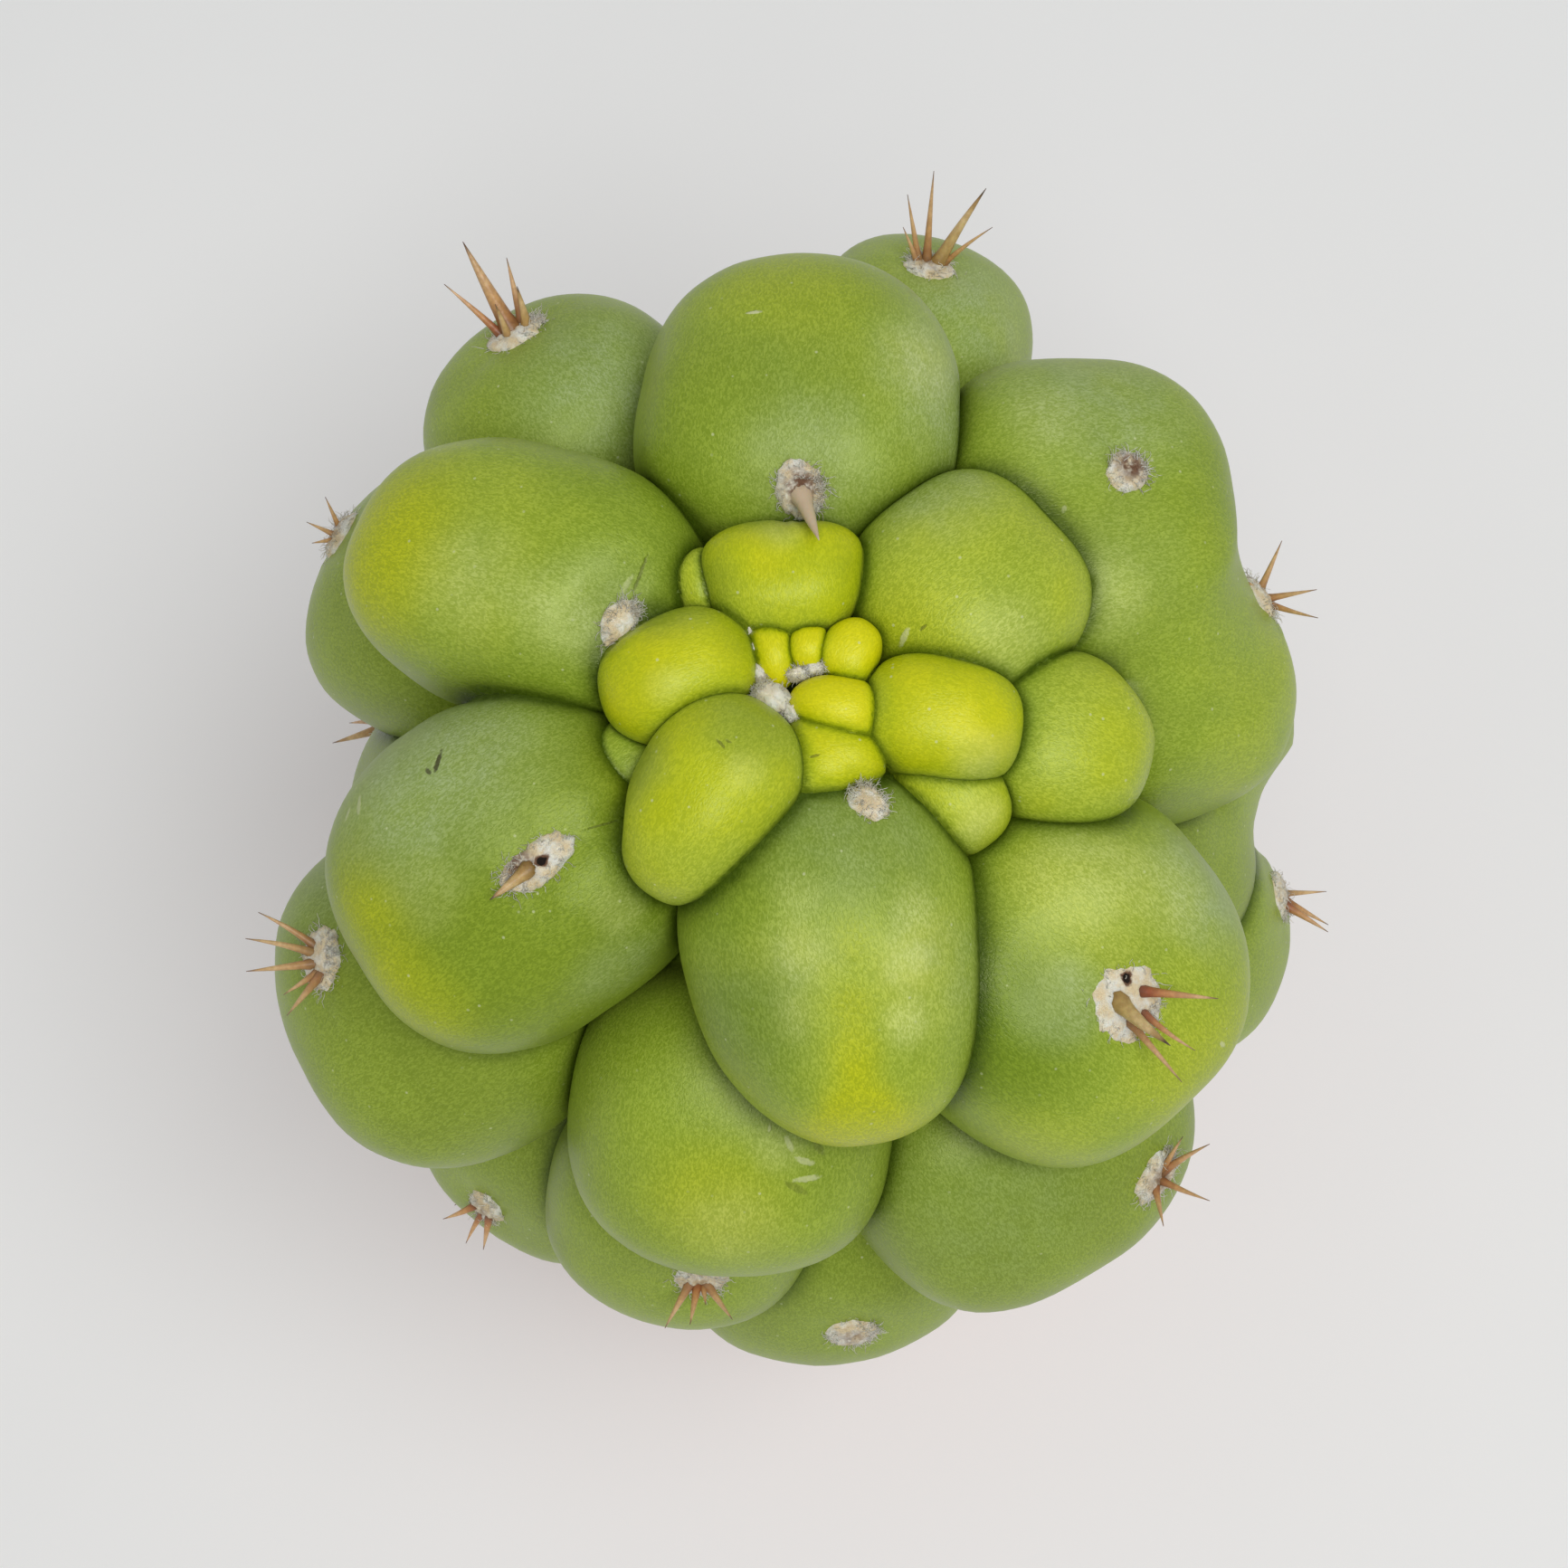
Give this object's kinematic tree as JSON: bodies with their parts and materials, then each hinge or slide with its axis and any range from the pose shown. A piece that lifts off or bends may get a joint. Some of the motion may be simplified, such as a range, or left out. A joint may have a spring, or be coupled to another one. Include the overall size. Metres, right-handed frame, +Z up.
{
  "type": "potted cactus",
  "caption": "Knobbly monstrose column cactus with woolly, spiny areoles, rooted in grit-dressed mix in a plain clay pot.",
  "frame": {"origin": "middle of the pot's foot, on the surface it stands on", "axes": "+Z up along the pot's and the stem's axis, the front is -Y"},
  "size_m": [0.117, 0.1223, 0.2294],
  "materials": {
    "skin": "satin waxy cactus skin",
    "wool_and_spines": "cream felted wool, spines horn-like",
    "terracotta": "matt unglazed clay",
    "mix": "crumbly bark and peat mix",
    "grit": "loose pale grit"
  },
  "bodies": {
    "root": {"apex_wool": "wool_and_spines", "areole_crown_east": "wool_and_spines", "areole_crown_far_east": "wool_and_spines", "areole_crown_north": "wool_and_spines", "areole_crown_north_west": "wool_and_spines", "areole_crown_south": "wool_and_spines", "areole_crown_south_east": "wool_and_spines", "areole_crown_west": "wool_and_spines", "areole_flank_1": "wool_and_spines", "areole_flank_10": "wool_and_spines", "areole_flank_11": "wool_and_spines", "areole_flank_2": "wool_and_spines", "areole_flank_3": "wool_and_spines", "areole_flank_4": "wool_and_spines", "areole_flank_5": "wool_and_spines", "areole_flank_6": "wool_and_spines", "areole_flank_7": "wool_and_spines", "areole_flank_8": "wool_and_spines", "areole_flank_9": "wool_and_spines", "areole_shoulder_1": "wool_and_spines", "areole_shoulder_3": "wool_and_spines", "areole_shoulder_4": "wool_and_spines", "areole_shoulder_6": "wool_and_spines", "areole_shoulder_8": "wool_and_spines", "areole_skirt_2": "wool_and_spines", "areole_skirt_4": "wool_and_spines", "areole_skirt_6": "wool_and_spines", "areole_skirt_8": "wool_and_spines", "cactus_stem": "skin", "clay_pot": "terracotta", "grit_top_dressing": "grit", "potting_mix": "mix"}
  },
  "joints": []
}
